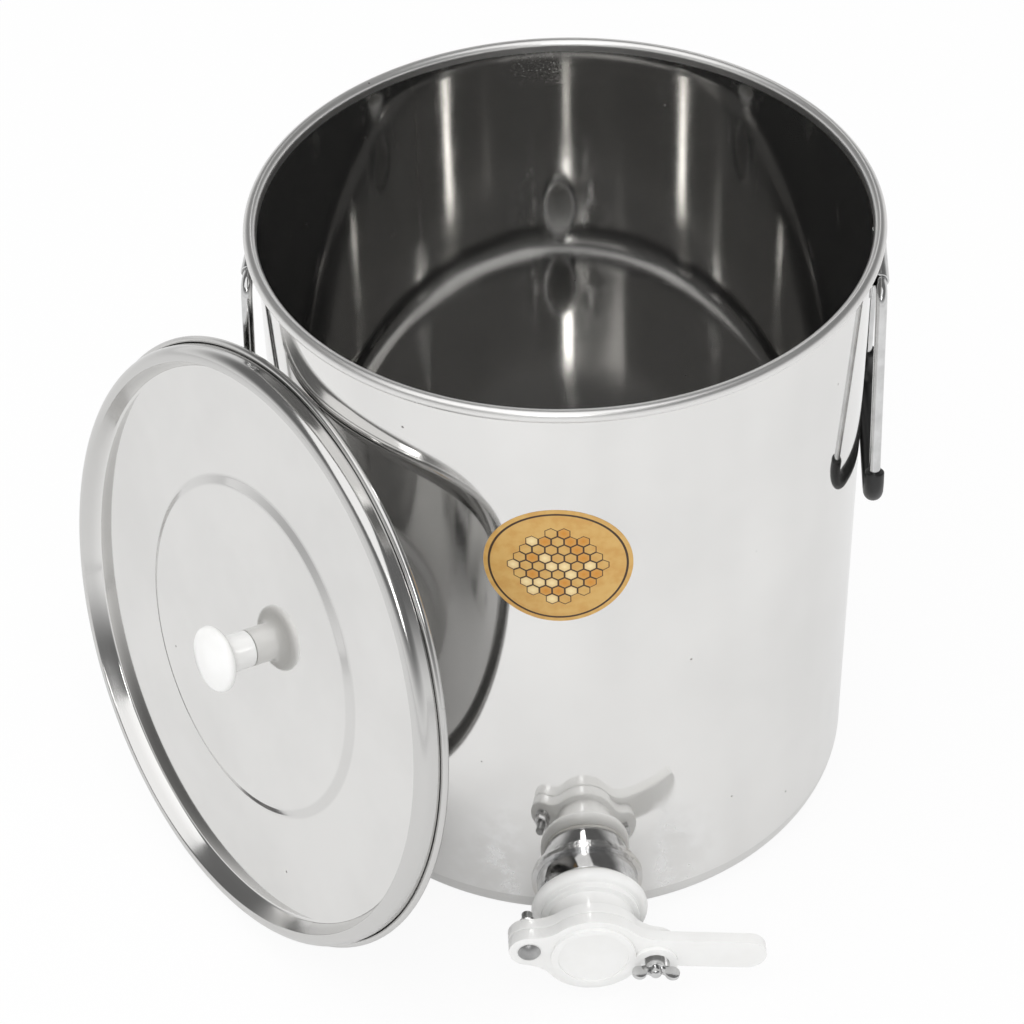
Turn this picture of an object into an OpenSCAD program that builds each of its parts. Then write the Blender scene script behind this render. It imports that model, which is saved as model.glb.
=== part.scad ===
// Honey settling tank: an open steel drum with a plastic honey gate low on
// its front, two drop handles under the rim, and its lid leaning beside it.
// Millimetres, +Z up. The origin is on the floor, at the centre of the
// drum's base, and the gate points towards -Y.

/* [Drum] */
// Outside diameter of the drum
tank_d = 320; // [260:1:400]
// Height from the floor to the top of the rolled rim
tank_h = 376; // [320:1:480]
// Sheet thickness of the drum and its bottom
sheet = 0.8; // [0.6:0.1:1.4]
// Outside diameter of the rolled rim
rim_d = 6.8; // [5:0.1:9]
// Radius of the bottom's rounded corner
corner_r = 19; // [10:0.5:26]
// Straight height of the bottom's skirt above its corner
skirt_land = 1.5; // [1:0.1:4]
// Width of the weld that joins the bottom to the barrel
bottom_weld_w = 2; // [1.2:0.1:3]
// How far that weld stands out
bottom_weld_t = 0.35; // [0.2:0.05:0.8]
// Width of the barrel's upright weld, on the inside
barrel_weld_w = 3; // [2:0.1:5]
// How far the upright weld stands in
barrel_weld_t = 0.25; // [0.15:0.05:0.5]

/* [Outlet] */
// Outside diameter of the welded steel socket
socket_d = 56; // [52:0.5:62]
// Outside diameter of the pipe thread that screws into the socket
thread_d = 47.8; // [46:0.1:49]
// Length of socket that stands outside the drum
socket_out = 14.5; // [12:0.5:28]
// Length of socket that shows inside the drum, at its sides
socket_in = 2.5; // [1:0.5:6]
// Width of the weld round the socket
outlet_weld_w = 2.8; // [1.5:0.1:4]
// Height of that weld above the drum
outlet_weld_t = 2.4; // [1.5:0.1:4]
// Height of the socket's lowest point above the floor
outlet_low = 7; // [6:0.5:40]
// Thickness of the flange gasket
gasket_t = 2; // [1.5:0.1:4]

/* [Gate body] */
// Turn of the whole gate past level, in degrees
gate_turn = -6.5; // [-12:0.5:12]
// Bore that the honey runs through
gate_bore = 38; // [34:0.5:40]
// Diameter of the round flange
flange_d = 64; // [60:0.5:72]
// Thickness of the round flange
flange_t = 8; // [6:0.5:10]
// Diameter of the shoulder in front of the flange
shoulder_d = 54; // [50:0.5:58]
// Length of the shoulder
shoulder_l = 3.5; // [3:0.5:8]
// Diameter of the neck
neck_d = 47; // [44:0.5:50]
// Length of the neck
neck_l = 11; // [10.5:0.5:26]
// Length of the threaded spigot
spigot_l = 16; // [10:0.5:18]
// Thickness of the body's face plate
plate_t = 7; // [5:0.5:10]
// Diameter of the round middle of plate and blade
disc_d = 55; // [53:0.5:62]
// Distance of the pivot screw from the bore's axis
pivot_out = 35; // [34:0.5:39]
// Height of the pivot screw above the bore's axis
pivot_rise = 1.5; // [0:0.5:4]
// Diameter of the lug round the pivot screw
pivot_lug_d = 22; // [18:0.5:26]
// Distance of the clamp bolt from the bore's axis
clamp_out = 34; // [33:0.5:38]
// Height of the clamp bolt below the bore's axis
clamp_drop = 3.8; // [2:0.1:6]
// Diameter of the lug round the clamp bolt
clamp_lug_d = 25; // [22:0.5:28]
// Radius of the hollow blends between middle and lugs
blend_r = 20; // [12:0.5:30]

/* [Gate blade] */
// Thickness of the blade
blade_t = 7; // [5:0.5:10]
// Diameter of the raised boss on the blade
boss_d = 46; // [43:0.5:50]
// Height of the boss and of the clamp pad
boss_h = 2.2; // [1:0.1:3.5]
// Diameter of the shallow round recess in the boss
recess_d = 38; // [30:0.5:42]
// Depth of that recess
recess_depth = 0.8; // [0.4:0.1:1.2]
// Reach of the paddle from the bore's axis
paddle_reach = 94.5; // [75:0.5:120]
// Width of the paddle
paddle_w = 20.5; // [18:0.5:26]
// Height of the paddle's middle above the bore's axis
paddle_rise = 3.2; // [2:0.1:6]
// Radius of the blend from the middle to the paddle's upper edge
paddle_blend_r = 30; // [15:1:45]
// Radius of the notch that goes over the wing nut's hub
notch_r = 8; // [7:0.1:9]

/* [Gate fasteners] */
// Diameter of the pivot screw and the clamp bolt
screw_d = 6; // [5:0.5:7]
// Diameter of the pivot screw's dome head
dome_d = 12.6; // [11:0.1:15]
// Height of the dome head
dome_h = 3.2; // [2.4:0.1:4]
// Width across flats of the nut and the bolt head
hex_af = 10; // [9:0.5:11]
// Thickness of the pivot nut
nut_t = 5; // [4:0.5:6]
// Thickness of the clamp bolt's hexagon head
bolt_head_t = 4; // [3:0.5:5]
// Diameter of the washer under the pivot nut
washer_d = 12; // [11.5:0.5:14]
// Thickness of that washer
washer_t = 1.2; // [0.8:0.1:1.6]
// Screw length past the nut
screw_tail = 6; // [1:0.5:7]
// Diameter of the wing nut's hub
hub_d = 11; // [9.5:0.5:12]
// Height of the hub in front of the clamp pad
hub_h = 3.5; // [2.5:0.5:6]
// Span of the wing nut over both wings
wing_span = 26; // [22:0.5:30]
// Diameter of each wing's round tip
wing_tip_d = 8; // [7:0.5:10]
// Thickness of each wing
wing_t = 2.2; // [1.6:0.1:3]
// Bolt length past the hub
bolt_tail = 3; // [1:0.5:6]

/* [Handles] */
// Turn of both handles about the drum's axis, in degrees
handle_turn = -5.5; // [-12:0.5:12]
// Diameter of the bail's wire
wire_d = 6; // [5:0.5:8]
// Diameter of the black sleeve grip
grip_d = 10.4; // [9:0.1:14]
// Depth of the bail's hinge line below the rim's top
hinge_drop = 27; // [22:0.5:40]
// Distance between the bail's upper corners
bail_top_w = 66; // [64:1:90]
// Distance between the bail's lower corners
bail_low_w = 110; // [96:1:140]
// Height of the bail between its centre lines
bail_h = 124; // [90:1:140]
// Bend radius of the upper corners
bail_top_r = 8; // [7:0.5:9]
// Bend radius of the lower corners
bail_low_r = 13; // [10:0.5:18]
// Length of grip that runs up each leg past the bend
grip_up = 5; // [2:0.5:12]
// Length of the hinge clip
clip_l = 44; // [30:1:48]
// Sheet thickness of the hinge clip
clip_t = 1.2; // [0.8:0.1:1.6]
// Height of the clip's welded tabs
clip_tab = 7; // [5:0.5:9]

/* [Lid] */
// Sheet thickness of the lid
lid_t = 0.6; // [0.5:0.1:1]
// Depth of the panel below the top of the lid's ring
panel_drop = 9.8; // [6:0.1:12]
// Width of the sloping wall between panel and ring
slope_w = 3.9; // [2:0.1:6]
// Rounding of the ring's outer edge
ring_r = 6; // [3:0.1:6.5]
// Depth of the rolled hem's centre below the top of the ring
hem_drop = 12.9; // [10:0.1:18]
// Diameter of the rolled hem
hem_d = 4; // [3:0.1:6]
// Diameter of the raised middle of the panel
emboss_d = 192; // [140:1:230]
// Height of the raised middle
emboss_h = 2.5; // [0.8:0.1:3.5]
// Width of the slope round the raised middle
emboss_w = 5; // [3:0.1:8]
// Lean of the lid back from upright, in degrees
lid_lean = 12.4; // [6:0.1:25]
// Direction that the lid's face looks, in degrees about Z
lid_facing = -145.2; // [-155:0.1:-130]
// Sideways place of the lid's centre along the drum
lid_shift = 20; // [0:1:40]

/* [Lid knob] */
// Diameter of the knob's head
knob_d = 37; // [30:0.5:44]
// Height of the knob
knob_h = 26.5; // [20:0.5:32]
// Diameter of the knob's stem
stem_d = 20.5; // [16:0.5:24]
// Rounding of the head's edge
knob_edge_r = 3; // [2:0.1:4]
// Height of the head's dome above its edge
knob_dome = 3; // [2:0.1:5]
// Radius of the hollow under the head
knob_hollow_r = 5; // [3:0.1:6]
// Diameter of the threaded insert
insert_d = 8; // [7:0.5:10]
// Length of the threaded insert
insert_l = 14; // [10:0.5:16]
// Diameter of the knob's screw
knob_screw_d = 5; // [4:0.5:6]
// Diameter of the screw's pan head
pan_d = 9.5; // [8:0.5:12]
// Height of the pan head
pan_h = 3; // [2:0.1:3.4]
// Length of screw inside the insert
screw_grip = 11; // [6:0.5:13]
// Diameter of the washer under the lid
knob_washer_d = 16; // [13:0.5:24]
// Thickness of that washer
knob_washer_t = 1.2; // [0.8:0.1:1.4]

/* [Label] */
// Diameter of the round label
label_d = 75; // [50:1:100]
// Height of the label's centre above the floor
label_z = 273; // [200:1:300]
// Place of the label round the drum, in degrees from the gate
label_turn = -4.7; // [-30:0.1:30]
// Thickness of the label
label_t = 0.25; // [0.15:0.05:0.4]

/* [Hidden] */
$fn = 96;

// Clearances
overrun = 1;          // how far every cut runs past its face
seat_gap = 0.05;      // between a fixed piece and its seat or hole
hinge_gap = 0.08;     // round a turning pin in its bore
slide_gap = 0.3;      // between faces that slide past each other
grip_gap = 0.5;       // between a hanging grip and the drum
lid_gap = 0.6;        // between the rim and the lid's skirt
plug_gap = 0.6;       // between the drum's mouth and the lid's plug
lean_gap = 0.4;       // between the lid's hem and the drum
blend_bite = 0.04;    // overlap where a blend meets a round
bend_swell = 0.2;     // bent wire is this much thicker than straight wire
bend_root = 1;        // how far each straight runs into its bends

// Drum
wall_r = tank_d / 2;
bore_r = wall_r - sheet;
rim_r = rim_d / 2;
rim_mid_r = bore_r + rim_r;
rim_mid_z = tank_h - rim_r;
rim_out_r = rim_mid_r + rim_r;
seam_z = corner_r + skirt_land;
curl_from = 190;      // the curl is open between these angles
curl_to = 245;

// Outlet, measured outwards from the drum's axis
socket_r = socket_d / 2;
weld_ring_r = socket_r + outlet_weld_w;
outlet_z = outlet_low + socket_r;
socket_back = sqrt(bore_r * bore_r - socket_r * socket_r) - socket_in;
socket_end = wall_r + socket_out;
gasket_d = socket_d;
flange_at = socket_end + gasket_t;
shoulder_at = flange_at + flange_t;
neck_at = shoulder_at + shoulder_l;
plate_at = neck_at + neck_l;
face_at = plate_at + plate_t;
blade_at = face_at + slide_gap;
front_at = blade_at + blade_t;
boss_at = front_at + boss_h;
wing_at = boss_at + slide_gap;
hub_top = wing_at + hub_h;
wing_reach = wing_span / 2 - wing_tip_d / 2;
hex_d = hex_af / cos(30);

pivot = [-pivot_out, pivot_rise];
clamp = [clamp_out, -clamp_drop];
disc_r = disc_d / 2;
notch_sweep = 14;     // degrees that the notch follows the hub's way out
notch_step = 7;

// Handles
clip_in_d = wire_d + 2 * hinge_gap;
clip_out_d = clip_in_d + 2 * clip_t;
hinge_r = wall_r + clip_in_d / 2 + slide_gap;
hinge_z = tank_h - hinge_drop;
bail_lean = asin((wall_r + grip_d / 2 + grip_gap - hinge_r) / bail_h);
splay = atan2((bail_low_w - bail_top_w) / 2, bail_h);
top_run = bail_top_w / 2 - bail_top_r * tan((90 - splay) / 2);
low_run = bail_low_w / 2 - bail_low_r * tan((90 + splay) / 2);
leg_dir = [sin(splay), -cos(splay)];
leg_out = [cos(splay), sin(splay)];
top_bend = [top_run, hinge_z - bail_top_r];
low_bend = [low_run, hinge_z - bail_h + bail_low_r];

// Lid, measured from the top of its ring
skirt_r = rim_out_r + lid_gap + lid_t;
ring_in_r = bore_r - plug_gap + panel_slack() - lid_t;
panel_r = ring_in_r - slope_w;
slope_l = norm([slope_w, panel_drop]);
hem_r = hem_d / 2;
hem_mid_r = skirt_r - lid_t + hem_r;
hem_from = 115;       // the hem's roll is open between these angles
hem_to = 170;
emboss_r = emboss_d / 2;
seat_z = emboss_h - panel_drop;
lid_z = hem_drop * sin(lid_lean) + hem_mid_r * cos(lid_lean) + hem_r;
lean_step = 1;        // degrees round the hem between the places tried
lid_out = max(panel_reach(), max([for (a = [-90 : lean_step : 90]) hem_reach(a)]));

// Knob
head_r = knob_d / 2 - knob_edge_r;
edge_z = knob_h - knob_dome - knob_edge_r;
dome_r = (head_r * head_r + knob_dome * knob_dome) / (2 * knob_dome);
stem_r = stem_d / 2;

// The ring's inner edge may stand over the rim by the depth of the mouth
function panel_slack() = slope_w * (rim_r / panel_drop);

// How far out the middle of the hem's roll stands at height z
function drum_reach(z) =
    let (stand = hem_r + lean_gap,
         near = rim_r + stand,
         rise = z - rim_mid_z,
         on_rim = abs(rise) < near ? rim_mid_r + sqrt(near * near - rise * rise) : 0)
    max(on_rim, rise < 0 ? wall_r + stand : 0);

// How far out the lid stands when its hem leans on the drum at angle a
function hem_reach(a) =
    let (up = hem_mid_r * cos(a),
         across = hem_mid_r * sin(a) - lid_shift,
         z = lid_z - hem_drop * sin(lid_lean) + up * cos(lid_lean),
         r = drum_reach(z))
    abs(across) > r ? 0
        : hem_drop * cos(lid_lean) + up * sin(lid_lean) + sqrt(r * r - across * across);

// The same when the back of its panel leans on the rim
function panel_reach() =
    let (deep = panel_drop + lid_t,
         up = (rim_mid_z - lid_z + deep * sin(lid_lean)) / cos(lid_lean))
    up > panel_r ? 0 : deep * cos(lid_lean) + up * sin(lid_lean) + rim_out_r + lean_gap;

// Point at distance a from p and b from q, to the left of the line for
// side 1 and to its right for side -1
function meet(p, a, q, b, side) =
    let (d = norm(q - p),
         along = (d * d + a * a - b * b) / (2 * d),
         across = sqrt(max(0, a * a - along * along)),
         e = (q - p) / d)
    p + along * e + side * across * [-e.y, e.x];

// Slanted inner face of the lid's plug at depth z
function plug_face(z) =
    panel_r + (z + panel_drop) * slope_w / panel_drop + lid_t * slope_l / panel_drop;

// Pie slice from angle a to angle b
module slice(r, a, b) {
    mid = (a + b) / 2;
    polygon([[0, 0], r * [cos(a), sin(a)],
             2 * r * [cos(mid), sin(mid)], r * [cos(b), sin(b)]]);
}

// Ring of sheet, open over one slice
module curl(r, t, a, b) {
    difference() {
        circle(r);
        circle(r - t);
        slice(2 * r, a, b);
    }
}

// Section of a round block with a rounded lower outer corner
module corner_block(r, c, h) {
    square([r - c, h]);
    translate([0, c]) square([r, h - c]);
    intersection() {
        translate([r - c, c]) circle(c);
        square([r, h]);
    }
}

// Places a piece on the outlet: x to the right, y up, z out of the drum
module at_outlet() {
    translate([0, 0, outlet_z]) rotate([90, 0, 0]) children();
}

// The same, with the gate's own turn
module at_gate() {
    at_outlet() rotate([0, 0, gate_turn]) children();
}

// Places a piece on a handle's hinge: x away from the drum, y along the hinge
module at_handle(turn) {
    rotate([0, 0, handle_turn + turn]) translate([hinge_r, 0, 0]) children();
}

// The same for a hanging bail, which its grip holds off the drum
module at_bail(turn) {
    at_handle(turn) translate([0, 0, hinge_z]) rotate([0, -bail_lean, 0])
        translate([0, 0, -hinge_z]) children();
}

// Places a piece on the lid: z out of its face, from the top of its ring
module at_lid() {
    rotate([0, 0, lid_facing]) translate([lid_out, -lid_shift, lid_z])
        rotate([0, 90 - lid_lean, 0]) children();
}

// Thin layer on the drum's outside
module wall_layer(t) {
    difference() {
        cylinder(h = tank_h, r = wall_r + t);
        translate([0, 0, -overrun]) cylinder(h = tank_h + 2 * overrun, r = wall_r);
    }
}

// The drum's outside as a block, grown by t
module drum_block(t) {
    rotate_extrude() translate([0, -t]) corner_block(wall_r + t, corner_r + t, tank_h);
}

// Round bar along the outlet, from the drum's middle outwards
module outlet_bar(r) {
    at_outlet() translate([0, 0, wall_r / 2]) cylinder(h = wall_r, r = r);
}

module tank_barrel() color("gainsboro") difference() {
    rotate_extrude() {
        translate([bore_r, seam_z]) square([sheet, rim_mid_z - seam_z]);
        translate([rim_mid_r, rim_mid_z]) curl(rim_r, sheet, curl_from, curl_to);
    }
    outlet_bar(socket_r + seat_gap);
}

module barrel_weld() color("silver") intersection() {
    difference() {
        translate([0, 0, seam_z])
            cylinder(h = rim_mid_z - rim_d - seam_z, r = bore_r - seat_gap);
        translate([0, 0, seam_z - overrun])
            cylinder(h = tank_h, r = bore_r - barrel_weld_t);
    }
    rotate([0, 0, handle_turn]) translate([0, -barrel_weld_w / 2, 0])
        cube([tank_d, barrel_weld_w, tank_h]);
}

module tank_bottom() color("lightgray") difference() {
    rotate_extrude() difference() {
        corner_block(wall_r, corner_r, seam_z);
        translate([0, sheet])
            corner_block(bore_r, corner_r - sheet, seam_z + overrun);
    }
    outlet_bar(socket_r + seat_gap);
}

module bottom_weld() color("silver") difference() {
    translate([0, 0, seam_z - bottom_weld_w / 2])
        cylinder(h = bottom_weld_w, r = wall_r + bottom_weld_t);
    translate([0, 0, seam_z - bottom_weld_w])
        cylinder(h = 2 * bottom_weld_w, r = wall_r);
    outlet_bar(weld_ring_r + seat_gap);
}

module outlet_socket() color("silver") at_outlet() difference() {
    translate([0, 0, socket_back]) cylinder(h = socket_end - socket_back, r = socket_r);
    translate([0, 0, socket_back - overrun])
        cylinder(h = socket_end - socket_back + 2 * overrun, d = thread_d);
}

module outlet_weld() color("darkgray") difference() {
    intersection() {
        drum_block(outlet_weld_t);
        outlet_bar(weld_ring_r);
    }
    drum_block(0);
    outlet_bar(socket_r + seat_gap);
}

module gate_gasket() color("dimgray") at_outlet() translate([0, 0, socket_end])
    difference() {
        cylinder(h = gasket_t, d = gasket_d);
        translate([0, 0, -overrun])
            cylinder(h = gasket_t + 2 * overrun, d = thread_d);
    }

// Hollow blend between a round at p and a round at q
module blend(p, rp, q, rq, side) {
    c = meet(p, rp - blend_bite + blend_r, q, rq - blend_bite + blend_r, side);
    difference() {
        polygon([p, c, q]);
        translate(c) circle(blend_r);
    }
}

// A round lug with blends to the gate's round middle
module lug(p, d) {
    translate(p) circle(d = d);
    for (side = [-1, 1]) blend([0, 0], disc_r, p, d / 2, side);
}

module gate_body() color("white") at_gate() difference() {
    union() {
        translate([0, 0, flange_at - gasket_t - spigot_l])
            cylinder(h = spigot_l + gasket_t + flange_t, d = thread_d - 2 * seat_gap);
        translate([0, 0, flange_at]) {
            cylinder(h = flange_t, d = flange_d - flange_t);
            translate([0, 0, flange_t / 2]) rotate_extrude()
                translate([flange_d / 2 - flange_t / 2, 0]) circle(d = flange_t);
        }
        translate([0, 0, shoulder_at]) cylinder(h = shoulder_l, d = shoulder_d);
        translate([0, 0, shoulder_at]) cylinder(h = plate_at - shoulder_at, d = neck_d);
        translate([0, 0, plate_at]) linear_extrude(plate_t) {
            circle(disc_r);
            lug(pivot, pivot_lug_d);
            lug(clamp, clamp_lug_d);
        }
    }
    translate([0, 0, socket_back]) cylinder(h = boss_at - socket_back, d = gate_bore);
    for (p = [pivot, clamp])
        translate([p.x, p.y, plate_at - overrun])
            cylinder(h = plate_t + 2 * overrun, d = screw_d + 2 * seat_gap);
}

// The notch follows the hub's way out as the blade swings up
module notch() {
    for (a = [0 : notch_step : notch_sweep])
        translate(pivot) rotate(-a) translate(clamp - pivot) circle(notch_r);
}

// Blend from the round middle to the paddle's upper edge
module paddle_blend() {
    edge = paddle_rise + paddle_w / 2;
    reach = disc_r - blend_bite + paddle_blend_r;
    lift = edge - blend_bite + paddle_blend_r;
    c = [sqrt(reach * reach - lift * lift), lift];
    difference() {
        polygon([[0, 0], c, [c.x, paddle_rise]]);
        translate(c) circle(paddle_blend_r);
    }
}

module blade_outline() {
    difference() {
        union() {
            circle(disc_r);
            lug(pivot, pivot_lug_d);
            translate([0, paddle_rise - paddle_w / 2])
                square([paddle_reach - paddle_w / 2, paddle_w]);
            translate([paddle_reach - paddle_w / 2, paddle_rise]) circle(d = paddle_w);
            paddle_blend();
        }
        notch();
    }
}

module gate_blade() color("white") at_gate() difference() {
    union() {
        translate([0, 0, blade_at]) linear_extrude(blade_t) blade_outline();
        translate([0, 0, front_at]) linear_extrude(boss_h) intersection() {
            blade_outline();
            union() {
                circle(d = boss_d);
                translate(clamp) circle(d = clamp_lug_d);
            }
        }
    }
    translate([0, 0, boss_at - recess_depth])
        cylinder(h = recess_depth + overrun, d = recess_d);
    translate([pivot.x, pivot.y, blade_at - overrun])
        cylinder(h = blade_t + 2 * overrun, d = screw_d + 2 * hinge_gap);
}

// Section of a low dome on a round of diameter d
module dome(d, h) {
    r = (d * d / 4 + h * h) / (2 * h);
    intersection() {
        translate([0, h - r]) circle(r);
        square([d / 2, h]);
    }
}

module pivot_screw() color("silver") at_gate() translate([pivot.x, pivot.y, 0]) {
    tail = plate_at - washer_t - nut_t - screw_tail;
    head = front_at + slide_gap;
    translate([0, 0, tail]) cylinder(h = head - tail + dome_h / 2, d = screw_d);
    translate([0, 0, head]) rotate_extrude() dome(dome_d, dome_h);
}

module pivot_washer() color("silver") at_gate()
    translate([pivot.x, pivot.y, plate_at - washer_t]) difference() {
        cylinder(h = washer_t, d = washer_d);
        translate([0, 0, -overrun])
            cylinder(h = washer_t + 2 * overrun, d = screw_d + 2 * seat_gap);
    }

module pivot_nut() color("silver") at_gate()
    translate([pivot.x, pivot.y, plate_at - washer_t - nut_t]) difference() {
        cylinder(h = nut_t, d = hex_d, $fn = 6);
        translate([0, 0, -overrun])
            cylinder(h = nut_t + 2 * overrun, d = screw_d + 2 * seat_gap);
    }

module clamp_bolt() color("silver") at_gate() translate([clamp.x, clamp.y, 0]) {
    translate([0, 0, plate_at - bolt_head_t]) cylinder(h = bolt_head_t, d = hex_d, $fn = 6);
    translate([0, 0, plate_at - bolt_head_t / 2])
        cylinder(h = hub_top + bolt_tail - plate_at + bolt_head_t / 2, d = screw_d);
    translate([0, 0, hub_top + bolt_tail]) rotate_extrude() dome(screw_d, screw_d / 4);
}

module wing_nut() color("silver") at_gate() translate([clamp.x, clamp.y, 0]) difference() {
    union() {
        translate([0, 0, face_at + slide_gap])
            cylinder(h = hub_top - face_at - slide_gap, d = hub_d);
        for (side = [0, 180]) rotate([90, 0, side])
            translate([0, 0, -wing_t / 2]) linear_extrude(wing_t) {
                translate([wing_reach, hub_top + wing_tip_d / 4]) circle(d = wing_tip_d);
                polygon([[0, wing_at], [wing_reach, wing_at + hub_h / 2],
                         [wing_reach - wing_tip_d / 4, hub_top + wing_tip_d / 2],
                         [0, hub_top]]);
            }
    }
    translate([0, 0, face_at]) cylinder(h = hub_top, d = screw_d + 2 * hinge_gap);
}

module handle_clip(turn) color("gainsboro") {
    body_low = hinge_z - clip_out_d / 2;
    difference() {
        union() {
            at_handle(turn) {
                translate([0, clip_l / 2, hinge_z]) rotate([90, 0, 0])
                    cylinder(h = clip_l, d = clip_out_d);
                translate([-hinge_r / 2, -clip_l / 2, body_low])
                    cube([hinge_r / 2, clip_l, clip_out_d]);
            }
            intersection() {
                wall_layer(clip_t);
                at_handle(turn) translate([-hinge_r / 2, -clip_l / 2, body_low - clip_tab])
                    cube([hinge_r, clip_l, clip_out_d + 2 * clip_tab]);
            }
        }
        at_handle(turn) {
            translate([0, clip_l / 2 + overrun, hinge_z]) rotate([90, 0, 0])
                cylinder(h = clip_l + 2 * overrun, d = clip_in_d);
            translate([-hinge_r / 2 - overrun, -clip_l / 2 - overrun, hinge_z - clip_in_d / 2])
                cube([hinge_r / 2 + overrun, clip_l + 2 * overrun, clip_in_d]);
        }
        cylinder(h = tank_h, r = wall_r);
    }
}
module right_handle_clip() handle_clip(0);
module left_handle_clip() handle_clip(180);

// Straight rod in the handle's plane from p to q
module straight(p, q, d) {
    run = q - p;
    translate([0, p.x, p.y]) rotate([atan2(-run.x, run.y), 0, 0]) cylinder(h = norm(run), d = d);
}

// Bent rod in the handle's plane round centre c, from angle a to angle b
module bend(c, r, a, b, d) {
    translate([0, c.x, c.y]) rotate([90, 0, 90]) rotate([0, 0, a])
        rotate_extrude(angle = b - a) translate([r, 0]) circle(d = d + bend_swell);
}

// Lower run of the bail with both bends and a length of each leg
module low_path(d, up) {
    low_z = hinge_z - bail_h;
    foot = low_bend + bail_low_r * leg_out;
    straight([-low_run - bend_root, low_z], [low_run + bend_root, low_z], d);
    for (side = [0, 180]) rotate([0, 0, side]) {
        bend(low_bend, bail_low_r, -90, splay, d);
        straight(foot + bend_root * leg_dir, foot - up * leg_dir, d);
    }
}

// Upper run of the bail, in the clip, with both bends
module top_path(d) {
    straight([-top_run - bend_root, hinge_z], [top_run + bend_root, hinge_z], d);
    for (side = [0, 180]) rotate([0, 0, side]) bend(top_bend, bail_top_r, splay, 90, d);
}

module bail(turn) color("silver") at_bail(turn) {
    leg_l = norm(top_bend + bail_top_r * leg_out - low_bend - bail_low_r * leg_out);
    low_path(wire_d, leg_l + bend_root);
    top_path(wire_d);
}
module right_bail() bail(0);
module left_bail() bail(180);

module grip(turn) color("black") at_bail(turn) difference() {
    low_path(grip_d, grip_up);
    low_path(wire_d + 2 * seat_gap, grip_up + overrun);
}
module right_grip() grip(0);
module left_grip() grip(180);

// Round body under the lid's upper face
module lid_upper() {
    rotate_extrude() polygon([[0, -hem_drop], [0, seat_z], [emboss_r - emboss_w, seat_z],
        [emboss_r, -panel_drop], [panel_r, -panel_drop], [ring_in_r, 0],
        [skirt_r - ring_r, 0], [skirt_r - ring_r, -hem_drop]]);
    rotate_extrude() translate([plug_face(-lid_t), -hem_drop])
        square([skirt_r - plug_face(-lid_t), hem_drop - ring_r]);
    rotate_extrude() translate([skirt_r - ring_r, -ring_r]) circle(ring_r);
}

// Round body under the lid's lower face
module lid_lower() {
    floor_z = -panel_drop - lid_t;
    base = -hem_drop - overrun;
    rotate_extrude() polygon([[0, base], [0, seat_z - lid_t], [emboss_r - emboss_w, seat_z - lid_t],
        [emboss_r, floor_z], [plug_face(floor_z), floor_z], [plug_face(-lid_t), -lid_t],
        [skirt_r - ring_r, -lid_t], [skirt_r - ring_r, base]]);
    rotate_extrude() translate([plug_face(-lid_t), base])
        square([skirt_r - lid_t - plug_face(-lid_t), hem_drop + overrun - ring_r]);
    rotate_extrude() translate([skirt_r - ring_r, -ring_r]) circle(ring_r - lid_t);
}

module lid_shell() color("whitesmoke") at_lid() {
    difference() {
        lid_upper();
        lid_lower();
        translate([0, 0, -hem_drop]) cylinder(h = hem_drop, d = knob_screw_d + 2 * seat_gap);
    }
    rotate_extrude() translate([hem_mid_r, -hem_drop]) curl(hem_r, lid_t, hem_from, hem_to);
}

module lid_knob() color("white") at_lid() translate([0, 0, seat_z + seat_gap]) difference() {
    rotate_extrude() {
        square([stem_r, edge_z]);
        translate([0, edge_z - knob_edge_r]) square([head_r, 2 * knob_edge_r]);
        translate([head_r, edge_z]) circle(knob_edge_r);
        translate([0, edge_z + knob_edge_r]) intersection() {
            translate([0, knob_dome - dome_r]) circle(dome_r);
            square([head_r, knob_dome]);
        }
        difference() {
            translate([0, edge_z - knob_edge_r - knob_hollow_r])
                square([stem_r + knob_hollow_r, knob_hollow_r]);
            translate([stem_r + knob_hollow_r, edge_z - knob_edge_r - knob_hollow_r])
                circle(knob_hollow_r);
        }
    }
    translate([0, 0, -overrun]) cylinder(h = insert_l + overrun, d = insert_d + 2 * seat_gap);
}

module knob_insert() color("goldenrod") at_lid() translate([0, 0, seat_z + seat_gap]) difference() {
    cylinder(h = insert_l, d = insert_d);
    translate([0, 0, -overrun])
        cylinder(h = insert_l + 2 * overrun, d = knob_screw_d + 2 * seat_gap);
}

module knob_screw() color("silver") at_lid() translate([0, 0, seat_z - lid_t - knob_washer_t]) {
    cylinder(h = knob_washer_t + lid_t + screw_grip, d = knob_screw_d);
    rotate([180, 0, 0]) rotate_extrude() dome(pan_d, pan_h);
}

module knob_washer() color("silver") at_lid()
    translate([0, 0, seat_z - lid_t - knob_washer_t]) difference() {
        cylinder(h = knob_washer_t, d = knob_washer_d);
        translate([0, 0, -overrun])
            cylinder(h = knob_washer_t + 2 * overrun, d = knob_screw_d + 2 * seat_gap);
    }

module label() color("orange") intersection() {
    wall_layer(label_t);
    rotate([0, 0, label_turn]) translate([0, 0, label_z]) rotate([90, 0, 0])
        cylinder(h = tank_d, d = label_d);
}

tank_barrel();
barrel_weld();
tank_bottom();
bottom_weld();
outlet_socket();
outlet_weld();
gate_gasket();
gate_body();
gate_blade();
pivot_screw();
pivot_washer();
pivot_nut();
clamp_bolt();
wing_nut();
right_handle_clip();
left_handle_clip();
right_bail();
left_bail();
right_grip();
left_grip();
lid_shell();
lid_knob();
knob_insert();
knob_screw();
knob_washer();
label();
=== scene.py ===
import math

import bmesh
import bpy
from mathutils import Matrix, Vector


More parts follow.
